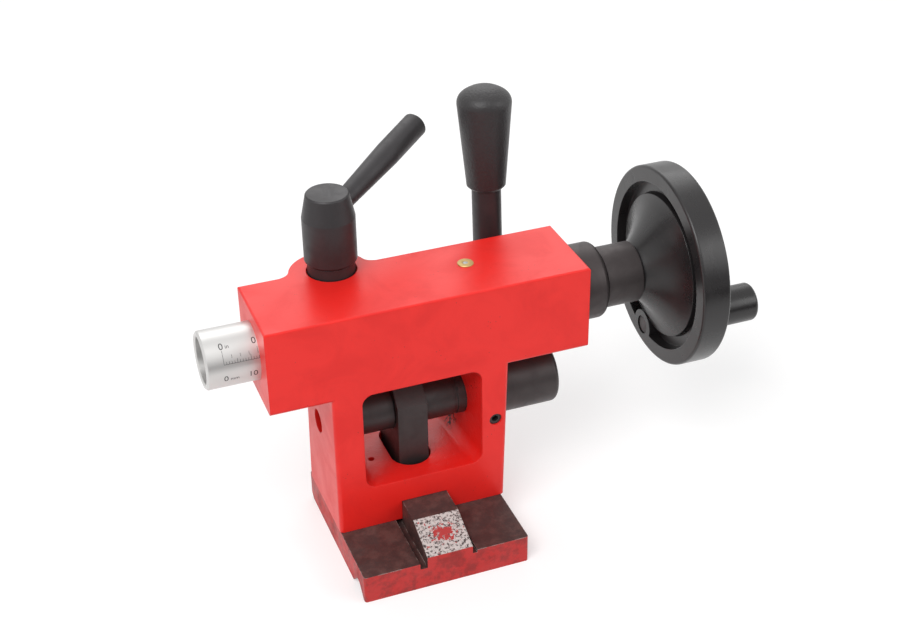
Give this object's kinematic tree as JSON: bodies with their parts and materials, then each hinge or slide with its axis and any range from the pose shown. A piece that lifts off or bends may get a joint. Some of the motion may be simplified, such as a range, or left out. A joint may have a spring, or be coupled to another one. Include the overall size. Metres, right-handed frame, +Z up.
{
  "type": "lathe tailstock",
  "caption": "Bench-lathe tailstock with graduated quill, handwheel with crank handle, quill lock lever and a cam lever that clamps it to the bed.",
  "frame": {"origin": "on the plane that the base rests on, under the quill axis, at the middle of the base's length along the bed", "axes": "+X along the quill axis from the nose to the handwheel, +Y to the back of the lathe, +Z up"},
  "size_m": [0.2321, 0.1053, 0.1617],
  "materials": {
    "red_casting": "orange-red enamel over sand-cast iron, machined faces left dark and oiled",
    "ground_steel": "ground, with a graduated scale",
    "black_oxide_steel": "turned and black oxide",
    "bright_steel": "bright machined",
    "bronze": "turned bronze",
    "brass": "turned brass",
    "black_gloss_plastic": "moulded, glossy black",
    "grained_black_plastic": "moulded with a fine leather grain"
  },
  "bodies": {
    "base": {"base_casting": "red_casting"},
    "body": {"body_casting": "red_casting", "base_bolt_1": "black_oxide_steel", "base_bolt_2": "black_oxide_steel", "quill_key_screw": "black_oxide_steel", "bearing_flange": "black_oxide_steel", "inner_thrust_washer": "bronze", "outer_thrust_washer": "bronze", "oiler_body": "brass", "oiler_spring": "bright_steel", "cam_retaining_screw": "black_oxide_steel", "lock_upper_cotter": "black_oxide_steel"},
    "wheel": {"leadscrew": "bright_steel", "drive_collar": "black_oxide_steel", "drive_key": "bright_steel", "handwheel": "black_gloss_plastic", "handwheel_washer": "bright_steel", "handwheel_nut": "bright_steel", "handle_spindle": "bright_steel", "handle_nut": "bright_steel"},
    "crank_handle": {"handle_sleeve": "black_gloss_plastic"},
    "quill": {"quill": "ground_steel"},
    "lock_lever": {"lock_hub": "black_oxide_steel", "lock_arm": "black_oxide_steel"},
    "lock_cotter": {"lock_lower_cotter": "black_oxide_steel", "lock_stud": "bright_steel"},
    "cam_lever": {"cam_shaft": "black_oxide_steel", "cam_lever_rod": "black_oxide_steel", "cam_lever_grip": "grained_black_plastic"},
    "link": {"clamp_link": "black_oxide_steel"},
    "oil_ball": {"oiler_ball": "bright_steel"}
  },
  "joints": [
    {"name": "setover_slide", "type": "slide", "parent": "base", "child": "body", "axis": [0, 1, 0], "range_m": [-0.0025, 0.0025]},
    {"name": "handwheel_spin", "type": "hinge", "parent": "body", "child": "wheel", "pos_m": [0.095, 0, 0.09], "axis": [-1, 0, 0], "range_deg": [-2700, 8100]},
    {"name": "quill_slide", "type": "slide", "parent": "body", "child": "quill", "axis": [-1, 0, 0], "range_m": [-0.015, 0.045]},
    {"name": "crank_handle_spin", "type": "hinge", "parent": "wheel", "child": "crank_handle", "pos_m": [0.137, 0.00759, 0.0584], "axis": [1, 0, 0], "continuous": true},
    {"name": "lock_lever_turn", "type": "hinge", "parent": "body", "child": "lock_lever", "pos_m": [-0.0205, 0.0173, 0.12], "axis": [0, 0, 1], "range_deg": [0, 100]},
    {"name": "lock_cotter_drop", "type": "slide", "parent": "body", "child": "lock_cotter", "axis": [0, 0, -1], "range_m": [0, 0.00035]},
    {"name": "cam_lever_turn", "type": "hinge", "parent": "body", "child": "cam_lever", "pos_m": [0.0483, 0.0035, 0.05], "axis": [-1, 0, 0], "range_deg": [0, 70]},
    {"name": "link_drop", "type": "slide", "parent": "body", "child": "link", "axis": [0, 0, -1], "range_m": [0, 0.00127]},
    {"name": "oiler_press", "type": "slide", "parent": "body", "child": "oil_ball", "axis": [0, 0, -1], "range_m": [0, 0.0008], "stiffness_N_per_m": 300, "deforming": ["oiler_spring"]}
  ],
  "couplings": [
    {"joint": "quill_slide", "follows": "handwheel_spin", "m_per_rad": 0.0003183},
    {"joint": "lock_cotter_drop", "follows": "lock_lever_turn", "m_per_rad": 0.000198},
    {"joint": "link_drop", "follows": "cam_lever_turn", "m_per_rad": 0.0010325}
  ]
}
